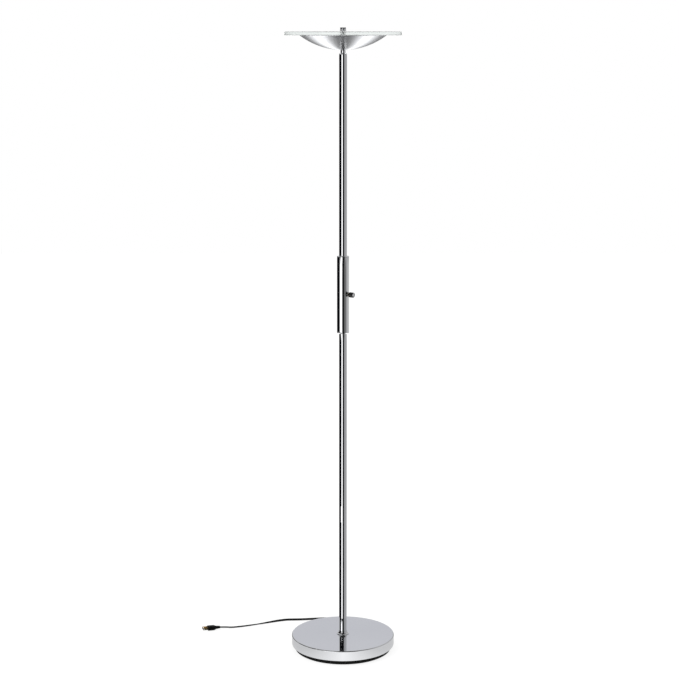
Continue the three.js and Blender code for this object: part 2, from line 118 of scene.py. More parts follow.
def turned(line, segments=96, shape=None):
    """A turned body: point (i, j) is (r_i cos t_j, r_i sin t_j, z_i), t_j = 2 pi j / segments.
    shape(r, z, t) may move the radius and height. A line that starts on the axis ends there
    too; any other meets its own start."""
    angle = np.arange(segments) * TAU / segments
    r, t = np.meshgrid(line[:, 0], angle, indexing="ij")
    z = np.repeat(line[:, 1:], segments, axis=1)
    if shape:
        r, z = shape(r, z, t)
    grid = np.stack([r * np.cos(t), r * np.sin(t), z], -1)
    return skin(grid, rows_meet=line[0, 0] > 1e-9)


def ring(inner, outer, low, high, edge=0.3, segments=96):
    """A washer, bush or tube: a rectangle with softened corners carried round the axis."""
    return turned(
        outline((inner, low, edge), (outer, low, edge), (outer, high, edge), (inner, high, edge)),
        segments,
    )


def thread(major, depth, pitch, low, high, run_out=1.2):
    """Shape of an outside thread: the radius drops by depth times a triangle wave of
    z / pitch - t / 2 pi, fading out over run_out at both ends."""

    def cut(r, z, t):
        wave = np.abs(2 * ((z / pitch - t / TAU) % 1) - 1)
        fade = np.clip((z - low) / run_out, 0, 1) * np.clip((high - z) / run_out, 0, 1)
        return r - depth * wave * fade * (r > major - 0.01), z

    return cut


def threaded_ring(inner, major, low, high, pitch=1.0, segments=48):
    line = outline((inner, low), (major, low, 0.5), (major, high, 0.5), (inner, high))
    line = finer(line, pitch / 5)
    return turned(line, segments, thread(major, 0.55 * pitch, pitch, low, high))


def hex_nut(flats, bore, low, high):
    """A six-sided nut: the radius is flats / 2 / cos(angle from the middle of a side), held
    inside a 30 degree chamfer cone at both ends."""
    wide = flats / math.sqrt(3)

    def sides(r, z, t):
        side = flats / 2 / np.cos((t % (TAU / 6)) - TAU / 12)
        cone = flats * 0.48 + np.minimum(z - low, high - z) * math.sqrt(3)
        return np.where(r > bore + 1, np.minimum(np.minimum(r, side), cone), r), z

    line = outline((bore, low, 0.4), (wide, low), (wide, high), (bore, high, 0.4))
    return turned(finer(line, 0.35), 96, sides)


def section_along(line, across, up, section):
    """A section carried along a line: point (i, j) is line_i + u_j across_i + v_j up_i."""
    if section.ndim == 2:
        section = np.repeat(section[None], len(line), 0)
    grid = (
        line[:, None]
        + section[..., :1] * across[:, None]
        + section[..., 1:] * up[:, None]
    )
    ends = [grid[:1].mean(1, keepdims=True), grid[-1:].mean(1, keepdims=True)]
    shut = [np.repeat(end, grid.shape[1], 1) for end in ends]
    return skin(np.vstack([shut[0], grid, shut[1]]), rows_meet=False)


def stacked(up, sections):
    """Level sections, one over another at the heights up."""
    line = np.stack([0 * up, 0 * up, up], -1)
    axes = [np.repeat([a], len(up), 0) for a in ([1.0, 0, 0], [0, 1.0, 0])]
    return section_along(line, *axes, sections)


def rounded_square(radius, steps):
    """A square two across with its corners rounded."""
    return outline((-1, -1, radius), (1, -1, radius), (1, 1, radius), (-1, 1, radius), steps=steps)


def smooth_line(points, step):
    """A line through every point: cubic pieces over knots spaced by the root of the distance,
    with the slope of the parabola through each point and its neighbours. Points step apart."""
    p = np.asarray(points, float)
    knot = np.r_[0, np.cumsum(np.linalg.norm(np.diff(p[:, :3], axis=0), axis=1) ** 0.5)]
    gap = np.diff(knot)[:, None]
    rise = np.diff(p, axis=0) / gap
    inner = (rise[:-1] * gap[1:] + rise[1:] * gap[:-1]) / (gap[:-1] + gap[1:])
    slope = np.vstack([rise[:1], inner, rise[-1:]])
    at = np.linspace(0, knot[-1], 40 * len(p))
    i = np.clip(np.searchsorted(knot, at, "right") - 1, 0, len(gap) - 1)
    h = gap[i]
    u = ((at - knot[i])[:, None]) / h
    line = (
        (2 * u**3 - 3 * u**2 + 1) * p[i]
        + (u**3 - 2 * u**2 + u) * h * slope[i]
        + (3 * u**2 - 2 * u**3) * p[i + 1]
        + (u**3 - u**2) * h * slope[i + 1]
    )
    along = np.r_[0, np.cumsum(np.linalg.norm(np.diff(line[:, :3], axis=0), axis=1))]
    even = np.linspace(0, along[-1], int(along[-1] / step) + 1)
    return np.stack([np.interp(even, along, column) for column in line.T], -1)


def swept(line, section, edge=None):
    """A section carried along a line. Its first axis lies level, and turns a quarter turn
    towards upright as edge goes from 0 to 1."""
    ahead = unit(np.gradient(line, axis=0))
    upright = np.where(np.abs(ahead[:, 2:]) > 0.9, [[0.0, 1.0, 0.0]], [[0.0, 0.0, 1.0]])
    level = unit(np.cross(upright, ahead))
    rise = np.cross(ahead, level)
    tilt = (np.zeros(len(line)) if edge is None else edge * np.pi / 2)[:, None]
    across = level * np.cos(tilt) + rise * np.sin(tilt)
    return section_along(line, across, np.cross(ahead, across), section)


def circle(radius, points=16):
    t = np.arange(points) * TAU / points
    return radius * np.stack([np.cos(t), np.sin(t)], -1)


def joined(*skins):
    """Several closed skins as one."""
    starts = np.cumsum([0] + [len(points) for points, _ in skins[:-1]])
    return (
        np.vstack([points for points, _ in skins]),
        np.vstack([faces + start for (_, faces), start in zip(skins, starts)]),
    )


def moved(points_and_faces, origin, x_axis, z_axis):
    """A skin with its own x and z turned to the two axes, and its origin put at a point."""
    points, faces = points_and_faces
    turn = np.stack([x_axis, np.cross(z_axis, x_axis), z_axis])
    return points @ turn + origin, faces


def piece(name, shape, finish, nodes, body="stand", crease=32):
    """One finished object from a skin in millimetres, standing for CAD nodes."""
    points, faces = shape
    mesh = bpy.data.meshes.new(name)
    mesh.from_pydata((points * MM).tolist(), [], faces.tolist())
    edit = bmesh.new()
    edit.from_mesh(mesh)
    bmesh.ops.remove_doubles(edit, verts=edit.verts, dist=3e-7)
    edit.to_mesh(mesh)
    edit.free()
    mesh.shade_smooth()
    mesh.set_sharp_from_angle(angle=math.radians(crease))
    mesh.materials.append(finish)
    made = bpy.data.objects.new(name, mesh)
    bpy.context.scene.collection.objects.link(made)
    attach(made, body)
    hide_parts(*nodes.split())
    return made


# ---------------------------------------------------------------- camera
lens = bpy.data.cameras.new("camera")
lens.lens, lens.sensor_width = 91.03, 36
camera = bpy.data.objects.new("camera", lens)
camera.location = (-0.0099, -4.829, 1.800)
camera.rotation_euler = (math.radians(90 - 10.265), 0, 0)
bpy.context.scene.collection.objects.link(camera)
bpy.context.scene.camera = camera
bpy.context.scene.view_settings.view_transform = "Standard"


# ---------------------------------------------------------------- finishes
class Net:
    """Short calls for wiring a node tree."""

    def __init__(self, tree):
        self.tree = tree

    def add(self, kind, inputs=None, **settings):
        """A node with its settings made and its inputs set, or joined where a socket is given."""
        node = self.tree.nodes.new(kind)
        for key, value in settings.items():
            setattr(node, key, value)
        for key, value in (inputs or {}).items():
            if isinstance(value, bpy.types.NodeSocket):
                self.tree.links.new(value, node.inputs[key])
            else:
                node.inputs[key].default_value = value
        return node

    def math(self, operation, *values, clamp=False):
        node = self.add("ShaderNodeMath", dict(enumerate(values)), operation=operation)
        node.use_clamp = clamp
        return node.outputs[0]

    def remap(self, value, low, high, to_low, to_high, smooth=False):
        inputs = {0: value, 1: low, 2: high, 3: to_low, 4: to_high}
        kind = "SMOOTHSTEP" if smooth else "LINEAR"
        return self.add("ShaderNodeMapRange", inputs, interpolation_type=kind).outputs[0]

    def noise(self, where, scale, detail=3.0, dimensions="3D", roughness=0.55):
        inputs = {"Scale": scale, "Detail": detail, "Roughness": roughness}
        inputs["W" if dimensions == "1D" else "Vector"] = where
        return self.add("ShaderNodeTexNoise", inputs, noise_dimensions=dimensions).outputs[0]

    def blend(self, share, first, second):
        node = self.add("ShaderNodeMix", data_type="RGBA")
        for socket, value in zip((0, 6, 7), (share, first, second)):
            if isinstance(value, bpy.types.NodeSocket):
                self.tree.links.new(value, node.inputs[socket])
            else:
                node.inputs[socket].default_value = value
        return node.outputs[2]

    def ramp(self, value, stops):
        node = self.add("ShaderNodeValToRGB", {0: value})
        marks = node.color_ramp.elements
        while len(marks) < len(stops):
            marks.new(0.5)
        for mark, (position, colour) in zip(marks, stops):
            mark.position, mark.color = position, colour
        return node.outputs[0]


def colour(r, g=None, b=None):
    return (r, r if g is None else g, r if b is None else b, 1.0)


def node_group(name, inputs, outputs):
    """A shader node group whose inputs are named numbers with their usual values, and whose
    outputs are named numbers. Gives the net, its inputs, its Object coordinates, its outputs."""
    tree = bpy.data.node_groups.new(name, "ShaderNodeTree")
    for key, usual in inputs.items():
        made = tree.interface.new_socket(key, in_out="INPUT", socket_type="NodeSocketFloat")
        made.default_value = usual
    for key in outputs:
        tree.interface.new_socket(key, in_out="OUTPUT", socket_type="NodeSocketFloat")
    net = Net(tree)
    given = net.add("NodeGroupInput").outputs
    where = net.add("ShaderNodeTexCoord").outputs["Object"]
    return net, given, where, net.add("NodeGroupOutput").inputs


def handling_marks():
    """Roughness of a handled surface: Clean, rising to Marked where two sizes of cloudy
    smears meet."""
    inputs = {"Scale": 12.0, "Clean": 0.05, "Marked": 0.15}
    net, given, where, out = node_group("handling_marks", inputs, ["Roughness", "Smear"])
    broad = net.noise(where, given["Scale"], 4.0)
    small = net.noise(where, net.math("MULTIPLY", given["Scale"], 6.3), 5.0)
    smear = net.remap(net.math("MULTIPLY", broad, small), 0.18, 0.42, 0.0, 1.0, smooth=True)
    span = net.math("SUBTRACT", given["Marked"], given["Clean"])
    rough = net.math("MULTIPLY_ADD", smear, span, given["Clean"])
    net.tree.links.new(rough, out["Roughness"])
    net.tree.links.new(smear, out["Smear"])
    return net.tree


def fine_grain():
    """Height of a fine even grain, and a slow Tone that varies from place to place."""
    net, given, where, out = node_group("fine_grain", {"Scale": 900.0}, ["Height", "Tone"])
    net.tree.links.new(net.noise(where, given["Scale"], 4.0, roughness=0.65), out["Height"])
    slow = net.noise(where, net.math("MULTIPLY", given["Scale"], 0.03), 3.0)
    net.tree.links.new(slow, out["Tone"])
    return net.tree


def turning_marks():
    """Height and Tone of the rings a lathe or a polishing wheel leaves: noise read along the
    distance from the lamp's axis, with a slow fading round the rings."""
    net, given, where, out = node_group("turning_marks", {"Scale": 900.0}, ["Height", "Tone"])
    part = net.add("ShaderNodeSeparateXYZ", {0: where}).outputs
    square = net.math("MULTIPLY_ADD", part[0], part[0], net.math("MULTIPLY", part[1], part[1]))
    radius = net.math("SQRT", square)
    rings = net.noise(radius, given["Scale"], 5.0, "1D", 0.7)
    slow = net.noise(where, 14.0, 2.0)
    fading = net.math("MULTIPLY", rings, net.remap(slow, 0.3, 0.7, 0.6, 1.0))
    net.tree.links.new(fading, out["Height"])
    net.tree.links.new(rings, out["Tone"])
    return net.tree


def settled_dust():
    """Mask of dust specks and a thin film of dust, most where slow noise is high."""
    inputs = {"Scale": 700.0, "Amount": 0.3}
    net, given, where, out = node_group("settled_dust", inputs, ["Mask"])
    specks = net.remap(net.noise(where, given["Scale"], 2.0), 0.66, 0.74, 0.0, 1.0)
    film = net.remap(net.noise(where, 9.0, 4.0), 0.35, 0.75, 0.0, 0.5)
    mask = net.math("MULTIPLY", net.math("ADD", specks, film), given["Amount"], clamp=True)
    net.tree.links.new(mask, out["Mask"])
    return net.tree


GROUPS = {
    "marks": handling_marks(),
    "grain": fine_grain(),
    "rings": turning_marks(),
    "dust": settled_dust(),
}


def material(name, **plain):
    """A new material's net and its surface shader, with the plain numbers set on its sockets."""
    made = bpy.data.materials.new(name)
    made.use_nodes = True
    net = Net(made.node_tree)
    surface = made.node_tree.nodes["Principled BSDF"]
    for key, value in plain.items():
        surface.inputs[key.replace("_", " ")].default_value = value
    return made, net, surface.inputs


def placed(net, group, values):
    """One of the shared groups, put in a material with its own values. Gives its outputs."""
    node = net.tree.nodes.new("ShaderNodeGroup")
    node.node_tree = GROUPS[group]
    for key, value in values.items():
        node.inputs[key].default_value = value
    return node.outputs


def bumped(net, surface, height, distance, strength=1.0):
    inputs = {"Height": height, "Distance": distance, "Strength": strength}
    net.tree.links.new(net.add("ShaderNodeBump", inputs).outputs[0], surface["Normal"])


def metal(name, dark, light, clean, marked, grain=900.0, depth=2e-6, smears=12.0, dust=0.0):
    """Bare or plated metal: its colour drifts between two tones with the grain, its gloss is
    dulled by handling marks, and dust may lie on the faces that look up."""
    made, net, surface = material(name, Metallic=1.0)
    grains = placed(net, "grain", {"Scale": grain})
    marks = placed(net, "marks", {"Scale": smears, "Clean": clean, "Marked": marked})
    tone = net.blend(net.remap(grains["Tone"], 0.3, 0.7, 0.0, 1.0), dark, light)
    rough = marks["Roughness"]
    if dust:
        normal = net.add("ShaderNodeNewGeometry").outputs["Normal"]
        up = net.add("ShaderNodeSeparateXYZ", {0: normal})
        lying = placed(net, "dust", {"Amount": dust})["Mask"]
        lying = net.math("MULTIPLY", lying, net.remap(up.outputs[2], 0.7, 1.0, 0.0, 1.0))
        rough = net.math("ADD", rough, net.math("MULTIPLY", lying, 0.35))
    net.tree.links.new(tone, surface["Base Color"])
    net.tree.links.new(rough, surface["Roughness"])
    bumped(net, surface, grains["Height"], depth)
    return made


def moulded(name, dark, light, clean, marked, grain=1600.0, depth=3e-5, **plain):
    """Moulded plastic or rubber: fine grain, a slow drift of tone and a rubbed sheen."""
    made, net, surface = material(name, **plain)
    grains = placed(net, "grain", {"Scale": grain})
    marks = placed(net, "marks", {"Scale": 40.0, "Clean": clean, "Marked": marked})
    tone = net.blend(net.remap(grains["Tone"], 0.3, 0.7, 0.0, 1.0), dark, light)
    net.tree.links.new(tone, surface["Base Color"])
    net.tree.links.new(marks["Roughness"], surface["Roughness"])
    bumped(net, surface, grains["Height"], depth, 0.6)
    return made


def spun_bowl_metal():
    """Spun metal left as the polishing wheel left it: ring marks about the lamp's axis, which
    draw each reflection out into a fan from the middle."""
    made, net, surface = material(
        "spun_bowl_metal", Metallic=1.0, Anisotropic=0.85, Anisotropic_Rotation=0.25
    )
    rings = placed(net, "rings", {"Scale": 1400.0})
    marks = placed(net, "marks", {"Scale": 16.0, "Clean": 0.3, "Marked": 0.36})
    tone = net.blend(net.remap(rings["Tone"], 0.3, 0.7, 0.0, 1.0),
                     colour(0.66, 0.67, 0.69), colour(0.8, 0.81, 0.83))
    net.tree.links.new(tone, surface["Base Color"])
    net.tree.links.new(marks["Roughness"], surface["Roughness"])
    around = net.add("ShaderNodeTangent", direction_type="RADIAL", axis="Z")
    net.tree.links.new(around.outputs[0], surface["Tangent"])
    bumped(net, surface, rings["Height"], 6e-6)
    return made


def plate_glass():
    """The glass plate: acid-frosted flat faces, and a polished clear edge from a mask of the
    distance to the axis."""
    made, net, surface = material(
        "plate_glass", Metallic=0.0, Transmission_Weight=1.0, IOR=1.5
    )
    where = net.add("ShaderNodeTexCoord").outputs["Object"]
    part = net.add("ShaderNodeSeparateXYZ", {0: where}).outputs
    square = net.math("MULTIPLY_ADD", part[0], part[0], net.math("MULTIPLY", part[1], part[1]))
    edge = net.remap(net.math("SQRT", square), 0.1612, 0.1622, 0.0, 1.0)
    marks = placed(net, "marks", {"Scale": 25.0, "Clean": 0.42, "Marked": 0.5})
    grains = placed(net, "grain", {"Scale": 2600.0})
    rough = net.math("MULTIPLY_ADD", edge, net.math("SUBTRACT", 0.06, marks["Roughness"]),
                     marks["Roughness"])
    tint = net.blend(edge, colour(0.97, 0.98, 0.975), colour(0.86, 0.9, 0.885))
    net.tree.links.new(tint, surface["Base Color"])
    net.tree.links.new(rough, surface["Roughness"])
    flat = net.math("SUBTRACT", 1.0, edge)
    bumped(net, surface, net.math("MULTIPLY", grains["Height"], flat), 8e-6)
    return made


FINISH = {
    "cover": metal("cover_chrome", colour(0.84, 0.85, 0.88), colour(0.9, 0.91, 0.93),
                   0.03, 0.09, 60.0, 3e-6, 9.0, dust=0.35),
    "tube": metal("tube_chrome", colour(0.87, 0.88, 0.9), colour(0.93, 0.935, 0.94),
                  0.015, 0.05, 70.0, 1e-6, 14.0),
    "fitting": metal("fitting_chrome", colour(0.84, 0.85, 0.87), colour(0.91, 0.91, 0.92),
                     0.05, 0.14, 300.0, 2e-6, 30.0),
    "dark_nickel": metal("dark_nickel", colour(0.1, 0.1, 0.105), colour(0.16, 0.16, 0.165),
                         0.16, 0.28, 500.0, 2e-6, 60.0),
    "bowl": spun_bowl_metal(),
    "steel": metal("zinc_steel", colour(0.38, 0.39, 0.4), colour(0.55, 0.55, 0.54),
                   0.28, 0.5, 2400.0, 2e-5, 60.0),
    "bright_steel": metal("bright_steel", colour(0.68, 0.69, 0.7), colour(0.8, 0.8, 0.8),
                          0.3, 0.42, 2400.0, 6e-6, 60.0),
    "brass": metal("bare_brass", colour(0.72, 0.5, 0.2), colour(0.86, 0.66, 0.32),
                   0.18, 0.36, 2000.0, 8e-6, 90.0),
    "aluminium": metal("mill_aluminium", colour(0.62, 0.63, 0.64), colour(0.74, 0.74, 0.75),
                       0.3, 0.48, 1800.0, 1e-5, 40.0),
    "concrete": moulded("cast_concrete", colour(0.16, 0.155, 0.145), colour(0.3, 0.29, 0.27),
                        0.85, 0.98, 260.0, 6e-4),
    "pan": moulded("pan_plastic", colour(0.002), colour(0.005), 0.45, 0.6, Specular_IOR_Level=0.1),
    "housing": moulded("housing_plastic", colour(0.01), colour(0.02), 0.4, 0.55),
    "knob": moulded("knob_plastic", colour(0.004), colour(0.01), 0.12, 0.24, 1800.0, 4e-6,
                    Coat_Weight=0.5, Coat_Roughness=0.08),
    # A white pointer mark; its white also gives a painted highlight on the knob's face.
    "pointer": moulded("pointer_white_painted_highlight", colour(0.78), colour(0.86), 0.3, 0.42, 1800.0, 4e-6),
    "rubber": moulded("foot_rubber", colour(0.012), colour(0.03), 0.7, 0.88, 1200.0, 8e-5),
    "sheath": moulded("cord_sheath", colour(0.004), colour(0.01), 0.4, 0.55, 1500.0, 3e-5,
                      Specular_IOR_Level=0.25),
    "strap": moulded("tie_strap", colour(0.01), colour(0.024), 0.6, 0.8, 2200.0, 1e-4,
                     Sheen_Weight=0.3),
    "board": moulded("led_board_lacquer", colour(0.8), colour(0.88), 0.25, 0.38, 1500.0, 1e-5),
    "phosphor": moulded("led_phosphor", colour(0.75, 0.55, 0.09), colour(0.86, 0.68, 0.16),
                        0.2, 0.3, 1500.0, 1e-5),
    "glass": plate_glass(),
    "clear_rubber": moulded("clear_rubber", colour(0.66, 0.68, 0.67), colour(0.76, 0.78, 0.77),
                            0.4, 0.55, 1400.0, 2e-5, Transmission_Weight=0.5),
}


# ---------------------------------------------------------------- cord, hank and plug
# The cord's route: x, y, z and how far it stands on edge, 0 flat to 1 upright.
LEAD_IN = [
    (0, 146.3, 9.4, 0), (0, 156, 9.4, 0), (0, 166, 9.5, 0), (0, 175, 10.0, 0),
    (0, 182, 10.3, 0), (0, 189, 10.2, 0), (0, 197, 8.9, 0), (-0.7, 205, 6.7, 0.15),
    (-3.5, 213, 5.0, 0.6), (-8.5, 220.5, 4.4, 1), (-14, 225.2, 4.3, 1),
    (-21, 228.6, 4.3, 1), (-28, 230.2, 4.3, 1), (-36, 231.2, 4.3, 1),
]
RUN = [
    (-52, 245.4, 4.1, 1), (-60, 245.4, 3.9, 1), (-68, 245.4, 3.6, 1), (-84, 244.2, 3.4, 1),
    (-102, 241.6, 3.4, 1), (-133, 238, 3.4, 1), (-158, 236.8, 3.4, 1), (-172, 235.6, 3.4, 1),
    (-189, 230.6, 3.4, 1), (-207, 223, 3.3, 0.9), (-225, 214.8, 2.9, 0.65),
    (-261, 198.3, 2.3, 0.25), (-288, 187, 2.1, 0.05), (-315, 177, 2.1, 0),
    (-338, 169.8, 2.6, 0), (-356, 165, 4.8, 0), (-374, 160, 6.5, 0), (-377, 159.2, 6.8, 0),
]
HANK_Y, HALF_STRAIGHT, INNER_TURN, PITCH, TURNS = 211, 43, 20.4, 3.5, 4


def hank_turns():
    """The turns of the hank: a point on the middle line between its two bends, plus a radius
    along the outward direction. The radius grows by the pitch along each far straight."""
    arc = np.linspace(0, 1, 13)[:-1]
    straight = np.linspace(0, 1, 9)[:-1]
    spine = np.r_[-1 + 0 * arc, -1 + 2 * straight, 1 + 0 * arc, 1 - 2 * straight]
    angle = np.r_[0.5 + arc, 1.5 + 0 * straight, 1.5 + arc, 2.5 + 0 * straight] * np.pi
    u = np.clip(-spine, 0, 1) * (angle > 2.49 * np.pi)
    step = u * u * (3 - 2 * u)
    rounds = np.arange(TURNS)[:, None]
    radius = INNER_TURN + PITCH * (rounds + step)
    x = HALF_STRAIGHT * spine + radius * np.cos(angle)
    y = HANK_Y + radius * np.sin(angle)
    return np.stack([x, y, 4.3 + 0 * x, 1 + 0 * x], -1).reshape(-1, 4)


def twin_cord_section(points=28):
    """A flat twin cord: two round cores side by side. Half its height at x is that of the
    nearer core's circle, and never less than the web between them."""
    core = CORD_THICK / 2
    t = (np.arange(points) + 0.5) * TAU / points
    x = CORD_WIDTH / 2 * np.cos(t)
    round_part = np.sqrt(np.maximum(core**2 - (np.abs(x) - core) ** 2, 0))
    web = np.where(np.abs(x) < core, 1.1, 0)
    return np.stack([x, np.sign(np.sin(t)) * np.maximum(round_part, web)], -1)


route = smooth_line(np.vstack([LEAD_IN, hank_turns(), RUN]), 2.0)
cord = piece("mains_cord", swept(route[:, :3], twin_cord_section(), route[:, 3]),
             FINISH["sheath"], "cord_lead_in cord_hank cord_run")


def tie(x, side):
    """A strap round the hank's strands: a rounded oblong loop with softened edges, and its
    free tail laid back over the top."""
    middle = INNER_TURN + PITCH * (TURNS - 1) / 2
    y, z = HANK_Y + side * middle, 0.9 + CORD_WIDTH / 2
    deep, tall = 15.7, 8.0
    loop = outline((-deep / 2, -tall / 2, 2.2), (deep / 2, -tall / 2, 2.2),
                   (deep / 2, tall / 2, 2.2), (-deep / 2, tall / 2, 2.2), steps=6)
    loop = finer(loop, 1.5)
    away = unit(np.stack([np.roll(loop, -1, 0)[:, 1] - np.roll(loop, 1, 0)[:, 1],
                          np.roll(loop, 1, 0)[:, 0] - np.roll(loop, -1, 0)[:, 0]], -1))
    strap = outline((-3, -0.28, 0.2), (3, -0.28, 0.2), (3, 0.28, 0.2), (-3, 0.28, 0.2), steps=3)
    grid = np.stack([
        np.broadcast_to(x + strap[:, 0], (len(loop), len(strap))),
        y + loop[:, :1] + away[:, :1] * strap[:, 1],
        z + loop[:, 1:] + away[:, 1:] * strap[:, 1],
    ], -1)
    return skin(grid)


ties = [
    piece("hank_strap_near", tie(24, -1), FINISH["strap"], "hank_tie_near"),
    piece("hank_strap_far", tie(14, 1), FINISH["strap"], "hank_tie_far"),
]

PLUG_AT = np.array([-374.0, 160.0, 6.8])
PLUG_AHEAD = unit(np.array([-18.0, -5.0, 0.0]))
BLADE_SPACING = 12.7


def at_plug(shape):
    """From plug measures, z ahead of the cord and x up, to their place on the floor."""
    return moved(shape, PLUG_AT, UP, PLUG_AHEAD)


def plug_shell():
    """The moulded plug: rounded oblong sections down its length, from a ribbed boot to a body
    with finger grips. Half width and half height are read off a table of stations; a section
    is a superellipse |u/a|^3 + |v/b|^3 = 1."""
    along = np.r_[0.3, np.linspace(0.6, 37.4, 93), 37.8, 38.0]
    wide = np.interp(along, [0, 0.8, 12, 15, 18, 21, 25, 31, 36, 37.6, 38],
                     [4.4, 5, 5.8, 8, 10.9, 11.9, 12, 11.5, 12, 11.7, 11.1])
    tall = np.interp(along, [0, 0.8, 12, 15, 19, 34, 37.4, 38],
                     [3, 3.6, 4.4, 5.5, 6.3, 6.5, 6.2, 5.6])
    rib = 0.45 * (np.cos(TAU * along / 2.6) < -0.1) * (along > 1.5) * (along < 11.5)
    grip = 0.35 * (np.cos(TAU * along / 2.0) < 0) * (along > 21.5) * (along < 33)
    t = (np.arange(64) + 0.5) * TAU / 64
    power = 2 / 3
    u = np.sign(np.sin(t)) * np.abs(np.sin(t)) ** power
    v = np.sign(np.cos(t)) * np.abs(np.cos(t)) ** power
    side = np.abs(u) > 0.85
    y = (wide - rib)[:, None] * u - grip[:, None] * side * np.sign(u)
    x = (tall - rib)[:, None] * v
    return at_plug(stacked(along, np.stack([x, y], -1)))


def blade(tall, side):
    """A plug blade: a flat bar with a rounded nose and the usual hole, as a ring of points
    round the hole, edge to hole and back on the other face."""
    root, nose, hole_at, hole_radius, half_thick = 32.7, 53.7, 50.2, 1.6, 0.75
    rim = outline((-tall / 2, root), (-tall / 2, nose, 1.6), (tall / 2, nose, 1.6),
                  (tall / 2, root), steps=6)
    rim = finer(rim, 1.2)
    middle = np.array([0, hole_at])
    hole = middle + hole_radius * unit(rim - middle)
    face = middle + (rim - middle) * 0.985
    edge = half_thick - 0.2
    rows = [(rim, -edge), (face, -half_thick), (hole, -half_thick),
            (hole, half_thick), (face, half_thick), (rim, edge)]
    y = side * BLADE_SPACING / 2
    grid = np.stack([np.stack([p[:, 0], 0 * p[:, 0] + y + v, p[:, 1]], -1) for p, v in rows])
    return at_plug(skin(grid))


plug = [
    piece("plug_shell", plug_shell(), FINISH["pan"], "plug_body"),
    piece("blade_wide", blade(7.9, 1), FINISH["brass"], "plug_blade_wide"),
    piece("blade_narrow", blade(6.35, -1), FINISH["brass"], "plug_blade_narrow"),
]


def relief():
    """The tapered sleeve round the cord: a flange against the pan, then a tapering neck with
    rounded ring grooves that let it bend."""
    taper = outline((3.6, 133), (4.5, 133, 0.3), (4.5, 140.8), (5.7, 140.8, 0.3), (5.7, 143, 0.5),
                    (5.2, 144, 0.3), (4.4, 171, 0.5), (3.6, 171, 0.2))

    def grooves(r, z, t):
        wave = np.clip(np.cos(TAU * (z - 146) / 4.2), 0, 1) ** 0.5
        inside = (z > 144.8) & (z < 169.2) & (r > 4.2)
        return r - 0.5 * wave * inside, z

    return turned(finer(taper, 0.35), 48, grooves)


BACK = np.array([0.0, 1.0, 0.0])
RELIEF_AT = np.array([0, 0, CORD_EXIT])
piece("cord_relief", moved(relief(), RELIEF_AT, np.array([1.0, 0, 0]), BACK),
      FINISH["pan"], "strain_relief")


# ---------------------------------------------------------------- base
def cover_shell():
    """The pressed chrome cover: a flat top, a rounded shoulder, a plain side and a foot that
    tucks in a little before its turned-under edge."""
    shoulder, tuck, bore = 2.5, 0.9, 7.2
    inside, under = BASE_RADIUS - COVER_WALL, BASE_HEIGHT - COVER_WALL
    return turned(outline(
        (bore, BASE_HEIGHT, 0.3), (BASE_RADIUS, BASE_HEIGHT, shoulder),
        (BASE_RADIUS, COVER_FOOT + 2.6, COVER_WALL), (BASE_RADIUS - tuck, COVER_FOOT, 0.35),
        (inside - tuck, COVER_FOOT, 0.35), (inside, COVER_FOOT + 2.6),
        (inside, under, shoulder - COVER_WALL), (bore, under, 0.3), steps=12), 256)


piece("cover_shell", cover_shell(), FINISH["cover"], "base_cover")


def pan_tray():
    """The moulded pan under the cover: a tray with rings pressed into its floor, a rounded
    wall and a flat flange."""

    def stiffened(r, z, t):
        under = (z < 3.0) & (r > 30) & (r < 112)
        step = 0.5 * (np.cos(TAU * (r - 30) / 20.5) < 0)
        return r, z + step * under

    wall, flange, low, high = 2.4, 147.2, COVER_FOOT + 0.6, COVER_FOOT + 2.2
    inside, floor = PAN_RADIUS - wall, PAN_FLOOR + wall
    line = outline((0, PAN_FLOOR), (PAN_RADIUS, PAN_FLOOR, 1.6), (PAN_RADIUS, low, 0.6),
                   (flange, low, 0.4), (flange, high, 0.4), (inside, high, 0.5),
                   (inside, floor, 1), (0, floor), steps=6)
    return turned(finer(line, 2.0, closed=False), 192, stiffened)


piece("pan_tray", pan_tray(), FINISH["pan"], "base_pan")


def foot_ring():
    """The rubber ring the lamp stands on, with three round-bottomed grooves in its sole."""
    line = finer(outline((118, 0, 0.3), (136, 0, 0.3), (136, 1.8, 0.3), (118, 1.8, 0.3)), 0.4)

    def grooves(r, z, t):
        sole = (z < 0.05) & (r > 120) & (r < 134)
        return r, z + 0.7 * np.clip(np.cos(TAU * (r - 122.2) / 4.8), 0, 1) * sole

    return turned(line, 192, grooves)


piece("foot_ring", foot_ring(), FINISH["rubber"], "base_foot_ring")


def cast_weight():
    """The cast block: softened edges and a hollow for the nut, its faces a little uneven."""
    line = finer(outline(
        (7, 43.5, 0.8), (143, 43.5, 2), (146, 39.5, 2), (146, 17.5, 1.5), (28, 17.5, 1.5),
        (28, 30, 1.5), (7, 30, 0.5)), 3.0)

    def uneven(r, z, t):
        sag = 0.12 * np.sin(5 * t + r / 9) * np.sin(3 * t - r / 17)
        return r, z + np.where(z > 43, np.minimum(sag, 0), 0)

    return turned(line, 128, uneven)


piece("cast_weight", cast_weight(), FINISH["concrete"], "base_weight")


def pan_screw(angle):
    """A pan-head screw from below: a domed head with a cross recess, and a coarse thread."""
    line = outline((0, 0.4), (3.2, 0.4, 1.2), (4, 1.8, 0.2), (1.9, 1.8), (1.9, 23.5), (0.2, 26),
                   (0, 26))
    cutting = thread(1.9, 0.5, 1.5, 3, 26)

    def shape(r, z, t):
        r, z = cutting(r, z, t)
        arm = np.minimum(np.abs(r * np.cos(t)), np.abs(r * np.sin(t))) < 0.5
        return r, z + 0.8 * arm * (r < 2.2) * (z < 1)

    points, faces = turned(finer(line, 0.3, closed=False), 32, shape)
    return points + np.array([100 * math.cos(angle), 100 * math.sin(angle), 0]), faces


for number, degrees in enumerate((30, 150, 270), 1):
    piece(f"cover_screw_{number}", pan_screw(math.radians(degrees)), FINISH["steel"],
          f"pan_screw_{number}")

